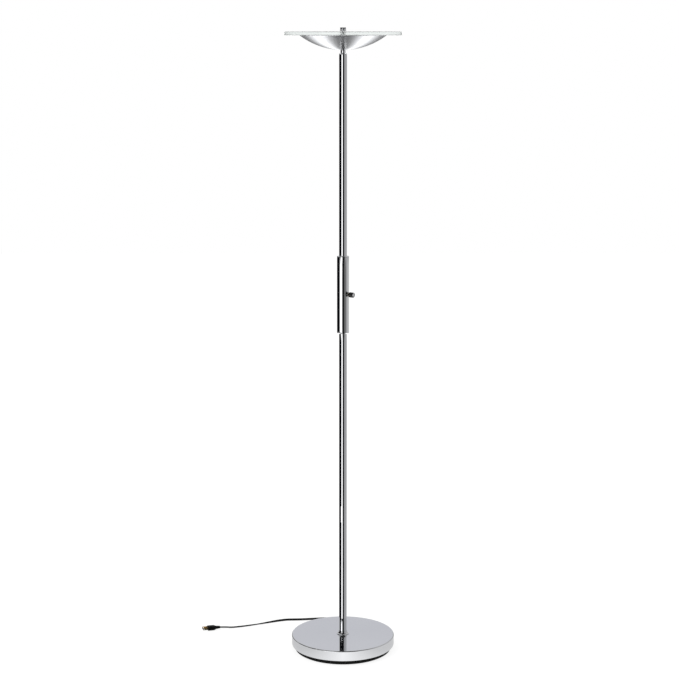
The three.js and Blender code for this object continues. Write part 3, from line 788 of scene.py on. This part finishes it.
piece("stub", threaded_ring(4.5, 6.5, 19.5, 66), FINISH["steel"], "base_stub")
piece("stub_washer", ring(6.8, 17, 28, 29.7), FINISH["steel"], "base_washer")
piece("stub_nut", hex_nut(24, 6.8, 21, 27.7), FINISH["steel"], "base_nut")
piece("pole_foot_insert", ring(6.8, 9.5, POLE_FOOT, 72), FINISH["steel"], "foot_insert")


# ---------------------------------------------------------------- pole and sleeve
def collar():
    """The flared collar at the pole's foot: a flat lip, a hollow flare and a short neck."""
    u = np.linspace(0, 1, 16)
    flare = np.stack([12.6 + 5.4 * (1 - u) ** 1.2, 46.5 + 6.4 * u ** 3.2], -1)
    return turned(np.vstack([
        outline((CAP_BORE, POLE_FOOT), (18, POLE_FOOT, 0.35), (18, 46.5, 0.3))[:-1], flare,
        [[12.6, 53.8], [12.3, 54.3], [CAP_BORE, 54.3]]]), 128)


piece("foot_flare", collar(), FINISH["fitting"], "foot_collar")
piece("pole_below", ring(POLE_BORE, POLE_RADIUS, POLE_FOOT, 985, segments=128),
      FINISH["tube"], "lower_pole")
piece("pole_above", ring(POLE_BORE, POLE_RADIUS, 1145, 1729.3, segments=128),
      FINISH["tube"], "upper_pole")
piece("sleeve_tube",
      ring(SLEEVE_BORE, SLEEVE_RADIUS, SLEEVE_BOTTOM + 4, SLEEVE_TOP - 2.3, segments=128),
      FINISH["tube"], "dimmer_sleeve")
piece("sleeve_foot", turned(outline(
    (CAP_BORE, SLEEVE_BOTTOM, 0.4), (SLEEVE_RADIUS, SLEEVE_BOTTOM, 3.2),
    (SLEEVE_RADIUS, SLEEVE_BOTTOM + 3.7, 0.3), (CAP_PLUG, SLEEVE_BOTTOM + 3.7),
    (CAP_PLUG, SLEEVE_BOTTOM + 16, 0.5), (CAP_BORE, SLEEVE_BOTTOM + 16, 0.3), steps=8), 128),
    FINISH["fitting"], "sleeve_lower_cap")
piece("sleeve_crown", turned(outline(
    (CAP_BORE, SLEEVE_TOP - 14, 0.3), (CAP_PLUG, SLEEVE_TOP - 14, 0.5),
    (CAP_PLUG, SLEEVE_TOP - 2), (SLEEVE_RADIUS, SLEEVE_TOP - 2, 0.2),
    (SLEEVE_RADIUS, SLEEVE_TOP, 0.7), (CAP_BORE, SLEEVE_TOP, 0.4), steps=8), 128),
    FINISH["fitting"], "sleeve_upper_cap")


# ---------------------------------------------------------------- dimmer
KNOB_TURN = math.radians(52)
KNOB_AHEAD = np.array([math.sin(KNOB_TURN), -math.cos(KNOB_TURN), 0])
KNOB_AT = np.array([0, 0, 1057.0])


def at_knob(shape):
    """From dimmer measures, z out along the shaft and x up, to their place on the sleeve."""
    return moved(shape, KNOB_AT, UP, KNOB_AHEAD)


def knob():
    """The knob: a fluted side, softened edges and a dished face. Each flute drops the radius
    by 0.45 |sin(12 t)|, fading out at the ends."""
    line = outline((0, 34.3), (3.3, 34.3), (3.3, 24.3), (7.5, 24.3, 0.6), (7.5, 37.5, 1.4),
                   (5.6, 37.5, 0.5), (4.6, 36.8, 0.8), (0, 36.8), steps=6)

    def flutes(r, z, t):
        fade = np.clip((z - 25.4) / 0.8, 0, 1) * np.clip((36.6 - z) / 1.4, 0, 1)
        return r - 0.45 * (1 - np.abs(np.sin(12 * t))) * fade * (r > 7), z

    return turned(finer(line, 0.4, closed=False), 240, flutes)


def pointer():
    """The white pointer: a thin inlaid bar from the dish to the rim of the knob's face. It is a
    real pointer, and its white also serves as a painted highlight on the black knob.
    """
    across = outline((-0.45, -0.3), (0.45, -0.3), (0.45, 0.3, 0.15), (-0.45, 0.3, 0.15), steps=3)
    x = np.array([4.5, 4.9, 5.3, 6.2, 6.9])
    z = np.array([37.0, 37.15, 37.35, 37.42, 37.2])
    line = np.stack([x, 0 * x, z], -1)
    axes = [np.repeat([a], len(x), 0) for a in ([0, 1.0, 0], [0, 0, 1.0])]
    return section_along(line, *axes, across)


def shaft():
    """The shaft, with a flat on the part inside the knob: x never passes the flat."""

    def flat(r, z, t):
        limit = 2.3 / np.maximum(np.cos(t - np.pi), 1e-3)
        limit = np.where(np.cos(t - np.pi) > 0.2, limit, 99)
        return np.where(z > 25.5, np.minimum(r, limit), r), z

    line = outline((0, 2.5), (3, 2.5, 0.3), (3, 34, 0.4), (0, 34))
    return turned(finer(line, 0.6, closed=False), 64, flat)


piece("dimmer_can", at_knob(turned(outline(
    (0, -5), (8, -5, 0.8), (8, 11.5, 0.8), (3.1, 11.5, 0.2), (3.1, 2), (0, 2)), 64)),
    FINISH["housing"], "dimmer_body")
piece("dimmer_neck", at_knob(threaded_ring(3.1, 4, 11.8, 23.5, 0.75)), FINISH["brass"],
      "dimmer_bushing")
piece("dimmer_ring", at_knob(ring(4.3, 7, 17.3, 18.1, 0.2)), FINISH["steel"],
      "dimmer_washer")
piece("dimmer_hex", at_knob(hex_nut(11, 4.3, 18.4, 20.6)), FINISH["steel"],
      "dimmer_nut")
piece("knob_spindle", at_knob(shaft()), FINISH["steel"], "dimmer_shaft", "knob")
piece("knob_body", at_knob(knob()), FINISH["knob"], "dimmer_knob", "knob")
piece("knob_inlay", at_knob(turned(outline(
    (0, 36.6), (4.3, 36.6, 0.1), (4.3, 37.1, 0.25), (3.6, 37.25, 0.3), (0, 37.25)), 64)),
    FINISH["fitting"], "", "knob")
# The white pointer: partly a real pointer, partly a painted highlight on the black knob.
piece("knob_pointer_painted_highlight", at_knob(pointer()), FINISH["pointer"], "", "knob")


def driver_box():
    """The driver's case: a tall box with rounded edges and end caps that step in."""
    up = np.array([1074, 1074.6, 1080, 1080.4, 1125.6, 1126, 1131.4, 1132])
    half = np.array([7.9, 8.5, 8.5, 8.2, 8.2, 8.5, 8.5, 7.9])
    return stacked(up, rounded_square(0.16, 5) * half[:, None, None])


piece("driver_case", driver_box(), FINISH["housing"], "led_driver")

bend = np.radians([0, 22.5, 45, 67.5, 90])
supply = [(0, y, CORD_EXIT) for y in (146, 120, 80, 45, 26)]
supply += [(0, 14 * (1 - math.sin(t)), CORD_EXIT + 14 * (1 - math.cos(t))) for t in bend]
supply += [(0, 0, z) for z in (40, 300, 640, 1000, 1045)]
piece("inside_lead", swept(smooth_line(supply, 2.5), circle(1.7)),
      FINISH["sheath"], "supply_cable")
head_lead = [(0, 0, 1132.3), (0, 0, 1400), (0, 0, 1700), (0, 0, 1752), (0.4, 0, 1759.5),
             (3, 0, 1762.9), (8, 0, 1763.4), (13, 0, 1761.6), (18, 0, 1757.3), (21, 0, 1756.3)]
piece("light_lead", swept(smooth_line(head_lead, 1.5), circle(1.2)),
      FINISH["sheath"], "head_cable")


# ---------------------------------------------------------------- head
piece("pole_crown", turned(outline(
    (5.3, 1711.3, 0.3), (9.5, 1711.3, 0.6), (9.5, 1729.6), (POLE_RADIUS, 1729.6, 0.2),
    (POLE_RADIUS, 1732.5, 2.4), (5.3, 1732.5, 0.3), steps=9), 128),
    FINISH["fitting"], "pole_top_plug")
piece("head_tube", threaded_ring(3.5, 5, 1713.3, 1760), FINISH["steel"], "head_nipple")
piece("neck_bush", ring(5.3, 7, 1732.8, 1741.1, 0.5), FINISH["fitting"], "neck_spacer")


def spun_bowl():
    """The bowl: the cap of a sphere, a parallel inside, and a rim rolled round between them.
    The sphere's radius is (rim radius^2 + depth^2) / (2 depth)."""
    wall, bore = 1.2, 5.3
    sphere = (BOWL_RIM**2 + BOWL_DEPTH**2) / (2 * BOWL_DEPTH)
    middle = BOWL_BOTTOM + sphere

    def cap(radius, start, end):
        t = np.linspace(math.asin(start / radius), math.asin(end / radius), 72)
        return np.stack([radius * np.sin(t), middle - radius * np.cos(t)], -1)

    outside = cap(sphere, bore, BOWL_RIM)
    inside = cap(sphere - wall, bore, BOWL_RIM - 0.75)
    centre = (outside[-1] + inside[-1]) / 2
    start = outside[-1] - centre
    t = np.linspace(0, np.pi, 9)[1:-1, None]
    quarter = np.array([-start[1], start[0]])
    bead = centre + start * np.cos(t) + quarter * np.sin(t) * 0.9
    return turned(np.vstack([outside, bead, inside[::-1]]), 256)


piece("spun_bowl", spun_bowl(), FINISH["bowl"], "bowl")
piece("bowl_ring", ring(5.3, 12, 1743.3, 1744.5), FINISH["steel"], "bowl_washer")
piece("head_hex", hex_nut(14, 5.3, 1744.8, 1749.5), FINISH["steel"], "head_lock_nut")


def heat_sink():
    """The aluminium disc behind the board: softened edges and eight scallops in its rim."""

    def scallops(r, z, t):
        dent = np.clip(np.cos(8 * t) - 0.86, 0, 1) / 0.14
        return np.where(r > 44, r - 2.2 * dent, r), z

    line = outline((5.3, 1749.8, 0.4), (50, 1749.8, 0.6), (50, 1752.8, 0.6), (5.3, 1752.8, 0.4))
    return turned(line, 192, scallops)


piece("heat_plate", heat_sink(), FINISH["aluminium"], "led_heat_sink")
piece("light_board", ring(14, 49, 1753.1, 1754.7, 0.2, 128), FINISH["board"],
      "led_board")


def light_chips():
    """The emitters: two rings of small square chips with rounded corners and a domed top."""
    up = np.array([1754.6, 1755.2, 1755.4, 1755.5])
    half = np.array([1.7, 1.7, 1.5, 0.9])
    chip = stacked(up, rounded_square(0.2, 2) * half[:, None, None])
    chips = []
    for count, radius in ((24, 41.0), (16, 28.0)):
        for angle in np.arange(count) * TAU / count + 0.08:
            axis = np.array([math.cos(angle), math.sin(angle), 0])
            chips.append(moved(chip, axis * radius, axis, UP))
    return joined(*chips)


piece("light_chips", light_chips(), FINISH["phosphor"], "")


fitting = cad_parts["stud_coupling"]
fitting.data.materials.clear()
fitting.data.materials.append(FINISH["steel"])

rod_line = finer(outline((0, 1767), (3, 1767, 0.5), (3, 1800.5, 0.5), (0, 1800.5)), 0.2, False)
piece("glass_stud", turned(rod_line, 40, thread(3, 0.5, 1.0, 1767, 1800.5)),
      FINISH["bright_steel"], "centre_stud")
piece("glass_rest", turned(outline(
    (3.3, 1774.3, 0.2), (7.4, 1774.3, 0.5), (10, 1777.2, 1.2), (10, 1780.4, 0.4),
    (3.3, 1780.4, 0.2)), 96), FINISH["fitting"], "glass_seat")
piece("rest_pad", ring(3.3, 11, 1780.7, 1781.7, 0.3), FINISH["clear_rubber"],
      "glass_seat_washer")
piece("glass_plate", turned(outline(
    (5, GLASS_BOTTOM, 0.4), (GLASS_RADIUS - 1.2, GLASS_BOTTOM, 0.5),
    (GLASS_RADIUS, GLASS_BOTTOM + 1.2, 0.5), (GLASS_RADIUS, GLASS_TOP - 1.2, 0.5),
    (GLASS_RADIUS - 1.2, GLASS_TOP, 0.5), (5, GLASS_TOP, 0.4)), 256),
    FINISH["glass"], "glass_disc")
piece("finial_pad", ring(3.3, 7.5, 1792.3, 1792.9, 0.2), FINISH["clear_rubber"],
      "finial_washer")


def finial():
    """The thumb nut's body over the glass: a knurled skirt and a narrow neck. The knurl is two
    crossed sets of |sin| ridges that lean either way."""
    line = outline((3.3, 1793.2, 0.2), (FINIAL_RADIUS, 1793.2, 0.4),
                   (FINIAL_RADIUS, 1797.6, 0.3), (7.6, 1798.2, 0.2), (7.6, 1799.8), (3.3, 1799.8))

    def knurl(r, z, t):
        lean = (z - 1793) * 1.4
        ridges = np.maximum(np.abs(np.sin(22 * t + lean)), np.abs(np.sin(22 * t - lean)))
        on = (z > 1793.8) * (z < 1797.1) * (r > 8.2)
        return r - 0.35 * (1 - ridges) * on, z

    return turned(finer(line, 0.22), 264, knurl)


def finial_cap():
    """The dark cap on the thumb nut: a flat top over a side hollowed to a shallow cove."""
    t = np.linspace(-1, 1, 17)
    cove = np.stack([FINIAL_RADIUS - 0.5 * (1 - t * t), 1801.2 + 1.1 * t], -1)
    return turned(np.vstack([
        [[0, 1800.6], [3.3, 1800.6], [3.3, 1799.8], [8.2, 1799.8]], cove,
        outline((8.45, 1802.6), (8.2, TOTAL_HEIGHT, 0.15), (0, TOTAL_HEIGHT), steps=3)[1:]]), 96)


piece("thumb_nut", finial(), FINISH["fitting"], "finial")
piece("thumb_nut_cap", finial_cap(), FINISH["dark_nickel"], "")


# ---------------------------------------------------------------- floor and light
def stage_sheet(name, corners, glow=1.0):
    """A stage sheet that gives its own light, and its material's net."""
    mesh = bpy.data.meshes.new(name)
    mesh.from_pydata(corners, [], [list(range(len(corners)))])
    made, net, surface = material(name + "_white", Roughness=0.9, Specular_IOR_Level=0.0,
                                  Emission_Strength=glow)
    surface["Base Color"].default_value = colour(0.2)
    surface["Emission Color"].default_value = colour(1.0)
    mesh.materials.append(made)
    sheet = bpy.data.objects.new(name, mesh)
    bpy.context.scene.collection.objects.link(sheet)
    return sheet, net, surface


def only_mirrored(sheet):
    """Leave a stage sheet to mirror reflections alone."""
    sheet.visible_camera = sheet.visible_diffuse = sheet.visible_shadow = False
    sheet.visible_transmission = False


def studio():
    """A pale floor that gives a little of its own light; a pale card round the base, brightest
    in the middle, that only reflections from closer than a hand's width see; a low white card
    in front to the left; and one large soft lamp."""
    half, low = 9, -0.0004
    corners = [(-half, -half, low), (half, -half, low), (half, half, low), (-half, half, low)]
    stage_sheet("floor", corners, 0.86)[0].visible_glossy = False

    t = np.arange(64) * TAU / 64
    round_card = np.stack([0.4 * np.cos(t), 0.4 * np.sin(t), 0 * t - 0.0002], -1)
    card, net, surface = stage_sheet("base_card", round_card.tolist())
    only_mirrored(card)
    place = net.add("ShaderNodeSeparateXYZ", {0: net.add("ShaderNodeTexCoord").outputs["Object"]})
    aside = net.math("ABSOLUTE", place.outputs[0])
    glow = net.remap(aside, 0.0, 0.2, 0.78, 0.42)
    net.tree.links.new(glow, surface["Emission Strength"])
    reach = net.add("ShaderNodeLightPath").outputs["Ray Length"]
    far = net.remap(reach, 0.135, 0.155, 0.0, 1.0)
    clear = net.add("ShaderNodeBsdfTransparent").outputs[0]
    shine = net.tree.nodes["Principled BSDF"].outputs[0]
    both = net.add("ShaderNodeMixShader", {0: far, 1: shine, 2: clear}).outputs[0]
    net.tree.links.new(both, net.tree.nodes["Material Output"].inputs["Surface"])

    t = np.radians(np.linspace(-57, -18, 12))
    arc = 0.6 * np.stack([np.sin(t), -np.cos(t)], -1)
    strip = [(x, y, 0.214) for x, y in arc] + [(x, y, 0.268) for x, y in arc[::-1]]
    only_mirrored(stage_sheet("low_card", strip, 1.3)[0])

    soft = bpy.data.lights.new("soft_lamp", "AREA")
    soft.shape, soft.size, soft.size_y, soft.energy = "RECTANGLE", 2.4, 2.4, 55
    lamp = bpy.data.objects.new("soft_lamp", soft)
    lamp.location, lamp.rotation_euler = (-2.2, -2.4, 3.6), (math.radians(42), 0, math.radians(-42))
    lamp.visible_glossy = False
    bpy.context.scene.collection.objects.link(lamp)


def surroundings():
    """What the chrome sees. Azimuth a runs from the front, -Y, towards +X, and elevation e up
    from level. Between e = -25 and 28 degrees the colour is upright bands by azimuth. They lie
    elsewhere within 1.4 degrees of e = -8.9, which is where the sleeve mirrors from the main
    camera, so that it shows other bands than the poles. Behind and below, it goes by
    q = |x| / (1 - y), which is the same all along each line down the bowl. High in front it is
    dark, and high behind it is grey. Seen straight, and by rough surfaces, the surroundings are
    plain white."""
    world = bpy.data.worlds.new("studio")
    bpy.context.scene.world = world
    world.use_nodes = True
    net = Net(world.node_tree)
    ray = net.add("ShaderNodeTexCoord").outputs["Generated"]
    x, y, z = net.add("ShaderNodeSeparateXYZ", {0: ray}).outputs
    azimuth = net.math("ARCTAN2", x, net.math("MULTIPLY", y, -1.0))
    turn = net.math("MULTIPLY_ADD", azimuth, 1 / TAU, 0.5)
    elevation = net.math("ARCSINE", z)
    white, black = colour(1.35), colour(0.003, 0.003, 0.004)
    greys = [colour(v, v, 1.02 * v) for v in (0.33, 0.37, 0.42)]

    def bands(*edges):
        """Upright bands: each edge is the azimuth, in degrees, where one colour gives way."""
        stops = []
        for degrees, before, after in edges:
            at = (degrees + 180) / 360
            stops += [(at - 0.006, before), (at + 0.006, after)]
        return net.ramp(turn, stops)

    level = bands((-165, white, black), (-44, black, white), (-11, white, black),
                  (34, black, greys[0]), (62, greys[0], greys[1]), (105, greys[1], greys[2]),
                  (150, greys[2], black), (165, black, white))
    middle = bands((-165, white, black), (-63, black, white), (-17, white, black),
                   (21, black, colour(0.14)), (58, colour(0.14), greys[0]),
                   (85, greys[0], colour(0.45)), (112, colour(0.45), colour(0.58)),
                   (150, colour(0.58), black), (165, black, white))
    raised = bands((-115, colour(0.5), black), (34, black, greys[0]), (62, greys[0], greys[1]),
                   (105, greys[1], greys[2]), (150, greys[2], colour(0.5)))
    rad = math.radians
    height = net.math("ABSOLUTE", net.math("ADD", elevation, rad(8.9)))
    level = net.blend(net.remap(height, rad(1.15), rad(1.4), 1.0, 0.0), level, middle)
    upright = net.blend(net.remap(elevation, rad(4), rad(8), 0.0, 1.0), level, raised)

    behind = net.math("ABSOLUTE", azimuth)
    q = net.math("DIVIDE", net.math("ABSOLUTE", x), net.math("SUBTRACT", 1.001, y))
    share = net.math("DIVIDE", q, net.math("ADD", q, 1.0))
    fan = net.ramp(share, [(at, colour(value)) for at, value in (
        (0.0, 0.18), (0.08, 0.24), (0.16, 0.36), (0.23, 0.6), (0.29, 1.05), (0.36, 1.9),
        (0.46, 1.9), (0.53, 1.15), (0.60, 0.66), (0.68, 0.38), (0.78, 0.26), (1.0, 0.2))])
    fan = net.blend(net.remap(y, -0.1, 0.05, 0.0, 1.0), colour(0.01), fan)
    low = net.remap(elevation, rad(-24), rad(-31), 0.0, 1.0)
    low_behind = net.math("MULTIPLY", net.remap(behind, rad(150), rad(160), 0.0, 1.0),
                          net.remap(elevation, 0.0, rad(-2), 0.0, 1.0))
    seen = net.blend(net.math("MAXIMUM", low, low_behind), upright, fan)
    backdrop = net.math("MULTIPLY", net.remap(behind, rad(166), rad(172), 0.0, 1.0),
                        net.remap(elevation, rad(6), rad(9), 0.0, 1.0))
    seen = net.blend(backdrop, seen, colour(0.585, 0.59, 0.62))
    overhead = net.blend(net.remap(y, -0.05, 0.05, 0.0, 1.0), colour(0.02), colour(0.5))
    seen = net.blend(net.remap(elevation, rad(30), rad(34), 0.0, 1.0), seen, overhead)

    path = net.add("ShaderNodeLightPath").outputs
    plain = net.blend(path["Is Diffuse Ray"], colour(1.0), colour(0.85))
    mirrored = net.math("SUBTRACT", path["Is Glossy Ray"], path["Is Transmission Ray"], clamp=True)
    shown = net.blend(mirrored, plain, seen)
    net.tree.links.new(shown, world.node_tree.nodes["Background"].inputs["Color"])


studio()
surroundings()
